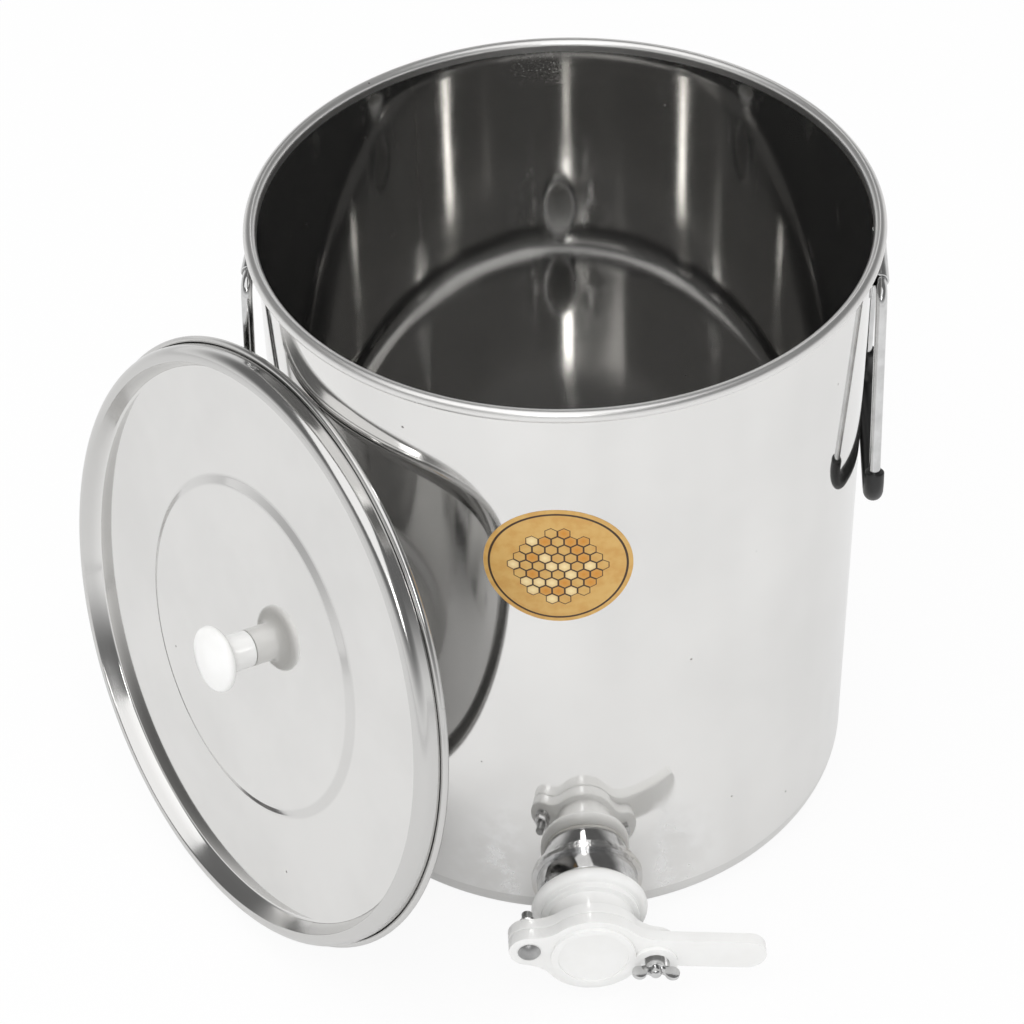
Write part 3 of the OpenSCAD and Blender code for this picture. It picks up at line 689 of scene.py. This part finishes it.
def spinSection(points, steps=roundSteps):
    # closed section of (radius, height) points in mm, turned once round Z
    bm = bmesh.new()
    verts = [bm.verts.new((r * mm, 0, z * mm)) for r, z in points]
    for a, b in zip(verts, verts[1:] + verts[:1]):
        bm.edges.new((a, b))
    bmesh.ops.spin(bm, geom=bm.verts[:] + bm.edges[:], cent=(0, 0, 0), axis=(0, 0, 1),
                   angle=math.tau, steps=steps, use_merge=True, use_duplicate=False)
    bmesh.ops.remove_doubles(bm, verts=bm.verts, dist=meshSetup["spinMerge"])
    bmesh.ops.dissolve_degenerate(bm, edges=bm.edges, dist=meshSetup["sliver"])
    bmesh.ops.recalc_face_normals(bm, faces=bm.faces)
    return bm


def markSharp(bm, limit):
    for face in bm.faces:
        face.smooth = True
    for edge in bm.edges:
        edge.smooth = edge.calc_face_angle(0.0) < math.radians(limit)


def addPiece(name, bm, finish, body, replaced, sharp=meshSetup["sharp"], back=None):
    markSharp(bm, sharp)
    piece = newObject(name, bm)
    for key in (finish, back) if back else (finish,):
        piece.data.materials.append(finishes[key])
    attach(piece, body)
    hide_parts(*replaced)


def nodeCopy(node):  # merged copy of a CAD node's mesh
    bm = bmesh.new()
    bm.from_mesh(nodes[node].data)
    bmesh.ops.remove_doubles(bm, verts=bm.verts, dist=meshSetup["copyMerge"])
    bmesh.ops.dissolve_limit(bm, angle_limit=math.radians(meshSetup["copyFlat"]), verts=bm.verts,
                             edges=bm.edges, use_dissolve_boundaries=False, delimit=set())
    return bm


def bevel(bm, edges, width, segments):
    bmesh.ops.bevel(bm, geom=edges, offset=width * mm, offset_type="OFFSET", segments=segments,
                    profile=0.5, affect="EDGES", clamp_overlap=True, material=-1)


def softEdges(bm, width, segments):
    limit = math.radians(meshSetup["bevelFrom"])
    bevel(bm, [e for e in bm.edges if e.is_manifold and e.calc_face_angle(0.0) > limit], width, segments)


# drum


def drilled(bm, radius):  # the same sheet with a hole for the outlet
    sheet = newObject("sheetDraft", bm)
    bar = bmesh.new()
    place = Matrix.Translation((0, -drum["wall"] * mm, drum["outlet"] * mm))
    bmesh.ops.create_cone(bar, cap_ends=True, segments=drum["holeSides"], depth=drum["drill"] * mm,
                          radius1=radius * mm, radius2=radius * mm,
                          matrix=place @ Matrix.Rotation(math.pi / 2, 4, "X"))
    drill = newObject("drillDraft", bar)
    cut = sheet.modifiers.new("outletHole", "BOOLEAN")
    cut.operation, cut.object, cut.solver = "DIFFERENCE", drill, "EXACT"
    bpy.context.view_layer.update()
    done = bpy.data.meshes.new_from_object(sheet.evaluated_get(bpy.context.evaluated_depsgraph_get()))
    result = bmesh.new()
    result.from_mesh(done)
    for scrap in (sheet, drill):
        bpy.data.objects.remove(scrap)
    return result


def drumShell(d):
    inner, outer = d["wall"] - d["sheet"], d["wall"]
    mid = (inner + d["rim"], d["height"] - d["rim"])
    outSteps, inSteps = d["curlSteps"]
    points = [(inner, d["seam"])]
    points += rows((inner, d["seam"]), (inner, mid[1]), d["wallRows"])
    points += arc(*mid, d["rim"], 180, d["curlEnd"], outSteps)
    points += arc(*mid, d["rim"] - d["sheet"], d["curlEnd"], 180, inSteps)
    points += rows((outer, mid[1]), (outer, d["seam"]), d["wallRows"])
    points.append((outer, d["seam"]))
    return drilled(spinSection(points), d["socket"])


def drumBottom(d):
    inner, outer, c = d["wall"] - d["sheet"], d["wall"], d["corner"]
    points = [(0, 0)] + rows((0, 0), (outer - c, 0), d["floorRows"])
    points += arc(outer - c, c, c, -90, 0, d["cornerSteps"])
    points += [(outer, d["seam"]), (inner, d["seam"])]
    points += arc(outer - c, c, c - d["sheet"], 0, -90, d["cornerSteps"])
    points += rows((outer - c, d["sheet"]), (0, d["sheet"]), d["floorRows"]) + [(0, d["sheet"])]
    return drilled(spinSection(points), d["socket"])


seamBead = {"half": 1.0, "crown": 0.06, "steps": 8, "hole": 30.85}  # ground and polished weld


def bottomSeam(b):
    bend = (b["half"] ** 2 + b["crown"] ** 2) / (2 * b["crown"])
    tilt = math.degrees(math.asin(b["half"] / bend))
    points = arc(drum["wall"] + b["crown"] - bend, drum["seam"], bend, -tilt, tilt, b["steps"])
    return drilled(spinSection(points), b["hole"])


addPiece("drumShell", drumShell(drum), "drum", "tank", ["tank_barrel"])
addPiece("drumBottom", drumBottom(drum), "bottom", "tank", ["tank_bottom"])
addPiece("bottomSeam", bottomSeam(seamBead), "drum", "tank", ["bottom_weld"])
print("drum made")


# lid


def lidShell(s):
    t, skirt, soft = s["sheet"], s["skirt"], s["stepRound"]
    seat, low = s["embossRise"] - s["drop"], -s["drop"] - t
    panel, step = s["ringIn"] - s["slope"], s["emboss"] - s["embossSlope"]
    ringMid, hem = (skirt - s["ringRound"], -s["ringRound"]), (skirt - t + s["hem"], -s["hemDrop"])
    shift = t * math.hypot(s["slope"], s["drop"]) / s["drop"]
    inSteps, outSteps = s["hemSteps"]

    def under(z):  # radius of the slope's lower side
        return panel + (z + s["drop"]) * s["slope"] / s["drop"] + shift

    # upper side from the middle outwards, round the hem, and back underneath
    bends = [(0, seat), (step, seat), (s["emboss"], -s["drop"]), (panel, -s["drop"]),
             (s["ringIn"], 0), (ringMid[0], 0)]
    points = [(0, seat)] + rows((0, seat), (step, seat), s["middleRows"])
    points += rounded(*bends[0:3], soft)
    points += rounded(*bends[1:4], soft)
    points += rows((s["emboss"] + soft, low + t), (panel - soft, low + t), s["panelRows"])
    points += rounded(*bends[2:5], s["panelRound"])
    points += rounded(*bends[3:6], s["ringEdge"])
    points += arc(*ringMid, s["ringRound"], 90, 0, s["ringSteps"])
    points += arc(*hem, s["hem"] - t, 180, s["hemEnd"], inSteps)
    points += arc(*hem, s["hem"], s["hemEnd"], 180, outSteps)
    points += arc(*ringMid, s["ringRound"] - t, 0, 90, s["ringSteps"])
    points += [(under(-t), -t), (under(low), low)]
    points += rows((under(low), low), (s["emboss"], low), s["underRows"])
    points += [(s["emboss"], low), (step, seat - t)]
    points += rows((step, seat - t), (0, seat - t), s["panelRows"]) + [(0, seat - t)]
    bm = spinSection(points)
    # faces underneath take the second finish, the painted shade
    for face in bm.faces:
        face.material_index = int(face.normal.z < s["backFrom"])
    bmesh.ops.transform(bm, matrix=onLid, verts=bm.verts)
    return bm


knobShape = {
    "radius": 18.5, "tall": 26.5, "stem": 10.25, "edge": 3.0, "dome": 3.0, "hollow": 5.0, "gap": 0.05,
    "foot": 0.6, "hole": 4.05, "holeDeep": 14.0,
    "footSteps": 4, "hollowSteps": 10, "edgeSteps": 14, "domeSteps": 12, "turnSteps": 96,
}


def lidKnob(k):
    head, edge = k["radius"] - k["edge"], k["tall"] - k["dome"] - k["edge"]
    domeRound = (head ** 2 + k["dome"] ** 2) / (2 * k["dome"])
    tilt = math.degrees(math.asin(head / domeRound))
    base = lidShape["embossRise"] - lidShape["drop"] + k["gap"]
    points = [(k["hole"], 0.0)] + arc(k["stem"] - k["foot"], k["foot"], k["foot"], -90, 0, k["footSteps"])
    neck = edge - k["edge"] - k["hollow"]
    points += arc(k["stem"] + k["hollow"], neck, k["hollow"], 180, 90, k["hollowSteps"])
    points += arc(head, edge, k["edge"], -90, 90 - tilt, k["edgeSteps"])
    points += arc(0, k["tall"] - domeRound, domeRound, 90 - tilt, 90, k["domeSteps"])[1:]
    points += [(0, k["holeDeep"]), (k["hole"], k["holeDeep"])]
    bm = spinSection([(r, z + base) for r, z in points], k["turnSteps"])
    bmesh.ops.transform(bm, matrix=onLid, verts=bm.verts)
    return bm


addPiece("lidShell", lidShell(lidShape), "lid", "lid", ["lid_shell"], back="lidUndersideShade")
addPiece("lidKnob", lidKnob(knobShape), "knob", "lid", ["lid_knob"])
print("lid made")


# handles


def handleMatrix(sideTurn):
    turn = Matrix.Rotation(math.radians(handle["turn"] + sideTurn), 4, "Z")
    hinge = Vector((handle["hingeOut"], 0, handle["hingeHeight"])) * mm
    stand = drum["wall"] + handle["grip"] + handle["gap"] - handle["hingeOut"]
    lean = Matrix.Rotation(-math.asin(stand / handle["tall"]), 4, "Y")
    return turn @ Matrix.Translation(hinge) @ lean @ Matrix.Translation((0, 0, -handle["hingeHeight"] * mm))


quarter = math.pi / 2
splay = math.atan2(handle["lowHalf"] - handle["topHalf"], handle["tall"])
topRun = handle["topHalf"] - handle["topBend"] * math.tan((quarter - splay) / 2)
lowRun = handle["lowHalf"] - handle["lowBend"] * math.tan((quarter + splay) / 2)
topMid = Vector((0, topRun, handle["hingeHeight"] - handle["topBend"])) * mm
lowMid = Vector((0, lowRun, handle["hingeHeight"] - handle["tall"] + handle["lowBend"])) * mm
legOut = Vector((0, math.cos(splay), math.sin(splay)))
legDown = Vector((0, math.sin(splay), -math.cos(splay)))
legLong = ((topMid + legOut * handle["topBend"] * mm) - (lowMid + legOut * handle["lowBend"] * mm)).length
topAcross = Vector((0, 2 * topRun * mm, 0))
lowAcross = Vector((0, -2 * lowRun * mm, 0))


def flip(v):  # the same point on the other leg
    return Vector((v.x, -v.y, v.z))


class Rod:  # a ring of edges that is drawn along runs and bends
    def __init__(self, bm, radius, place, along):
        self.bm = bm
        turned = Vector((0, 0, 1)).rotation_difference(along).to_matrix().to_4x4()
        made = bmesh.ops.create_circle(bm, segments=handle["sides"], radius=radius * mm, cap_ends=False,
                                       matrix=Matrix.Translation(place) @ turned)
        self.ring = list(dict.fromkeys(e for v in made["verts"] for e in v.link_edges))
        self.first = self.ring

    def run(self, move, steps):
        for _ in range(steps):
            made = bmesh.ops.extrude_edge_only(self.bm, edges=self.ring)["geom"]
            verts = [g for g in made if isinstance(g, bmesh.types.BMVert)]
            bmesh.ops.translate(self.bm, verts=verts, vec=move / steps)
            ends = set(verts)
            self.ring = [g for g in made if isinstance(g, bmesh.types.BMEdge) and set(g.verts) <= ends]

    def bend(self, centre, angle, steps):
        verts = list(dict.fromkeys(v for e in self.ring for v in e.verts))
        made = bmesh.ops.spin(self.bm, geom=verts + self.ring, cent=centre, axis=(-1, 0, 0), angle=angle,
                              steps=steps, use_merge=False, use_duplicate=False)["geom_last"]
        self.ring = [g for g in made if isinstance(g, bmesh.types.BMEdge)]


wireSteps = {"across": 4, "topBend": 10, "leg": 6, "lowBend": 14}
sleeveSteps = {"end": 2, "bend": 18, "across": 8}


def bailWire(sideTurn, steps):
    bm = bmesh.new()
    rod = Rod(bm, handle["wire"], Vector((0, -topRun, handle["hingeHeight"])) * mm, Vector((0, 1, 0)))
    rod.run(topAcross, steps["across"])
    rod.bend(topMid, quarter - splay, steps["topBend"])
    rod.run(legDown * legLong, steps["leg"])
    rod.bend(lowMid, quarter + splay, steps["lowBend"])
    rod.run(lowAcross, steps["across"])
    rod.bend(flip(lowMid), quarter + splay, steps["lowBend"])
    rod.run(-flip(legDown) * legLong, steps["leg"])
    rod.bend(flip(topMid), quarter - splay, steps["topBend"])
    bmesh.ops.remove_doubles(bm, verts=bm.verts, dist=meshSetup["wireMerge"])
    bmesh.ops.recalc_face_normals(bm, faces=bm.faces)
    bmesh.ops.transform(bm, matrix=handleMatrix(sideTurn), verts=bm.verts)
    return bm


def gripSleeve(sideTurn, steps):
    bm = bmesh.new()
    up = -legDown * handle["gripUp"] * mm
    start = lowMid + legOut * handle["lowBend"] * mm + up
    walls = []
    for radius in (handle["grip"], handle["wire"] + handle["sleeveGap"]):
        rod = Rod(bm, radius, start, legDown)
        rod.run(-up, steps["end"])
        rod.bend(lowMid, quarter + splay, steps["bend"])
        rod.run(lowAcross, steps["across"])
        rod.bend(flip(lowMid), quarter + splay, steps["bend"])
        rod.run(flip(up), steps["end"])
        walls.append(rod)
    outside, inside = walls
    for mouth in (outside.first + inside.first, outside.ring + inside.ring):
        bmesh.ops.bridge_loops(bm, edges=mouth)
    bmesh.ops.recalc_face_normals(bm, faces=bm.faces)
    bevel(bm, outside.first + outside.ring, handle["lip"], handle["lipSteps"])
    bmesh.ops.transform(bm, matrix=handleMatrix(sideTurn), verts=bm.verts)
    return bm


for side, sideTurn in sideTurns.items():
    bail = side + "_bail"
    wire, sleeve = bailWire(sideTurn, wireSteps), gripSleeve(sideTurn, sleeveSteps)
    addPiece(side + "BailWire", wire, "bright", bail, [bail])
    addPiece(side + "GripSleeve", sleeve, "sleeve", bail, [side + "_grip"])
    clip = nodeCopy(side + "_handle_clip")
    softEdges(clip, handle["clipEdge"], handle["clipSteps"])
    addPiece(side + "HingeClip", clip, "satin", "tank", [side + "_handle_clip"])
print("handles made")


# gate and its fasteners: softened copies of the solids

softPieces = [
    # name, node, edge width, segments, finish, body, slot
    ("gateBody", "gate_body", 1.8, 5, "gate", "tank", "gate_plastic"),
    ("gateBlade", "gate_blade", 1.8, 5, "gate", "blade", "gate_plastic"),
    ("pivotScrew", "pivot_screw", 0.3, 3, "screw", "tank", "bright_fasteners"),
    ("pivotNut", "pivot_nut", 0.4, 3, "bright", "tank", "bright_fasteners"),
    ("pivotWasher", "pivot_washer", 0.2, 2, "bright", "tank", "bright_fasteners"),
    ("clampBolt", "clamp_bolt", 0.4, 3, "bright", "tank", "bright_fasteners"),
    ("wingNut", "wing_nut", 0.6, 3, "bright", "wing_nut", "bright_fasteners"),
    ("outletSocket", "outlet_socket", 0.6, 3, "socket", "tank", "satin_steel"),
    ("gateGasket", "gate_gasket", 0.5, 3, "gasket", "tank", "gasket_rubber"),
    ("knobScrew", "knob_screw", 0.2, 2, "bright", "lid", "bright_fasteners"),
    ("knobWasher", "knob_washer", 0.2, 2, "bright", "lid", "bright_fasteners"),
]
for name, node, width, segments, finish, body, slot in softPieces:
    soft = nodeCopy(node)
    softEdges(soft, width, segments)
    addPiece(name, soft, finish, body, [node], meshSetup["softSharp"])
print("gate made")


# solids that keep their shape and take a finish

keptNodes = {"barrel_weld": "weld", "outlet_weld": "weld", "knob_insert": "brass", "label": "label"}
for node, finish in keptNodes.items():
    nodes[node].data.materials.clear()
    nodes[node].data.materials.append(finishes[finish])
print("kept solids finished")


# picture

scene.view_settings.view_transform = "Standard"
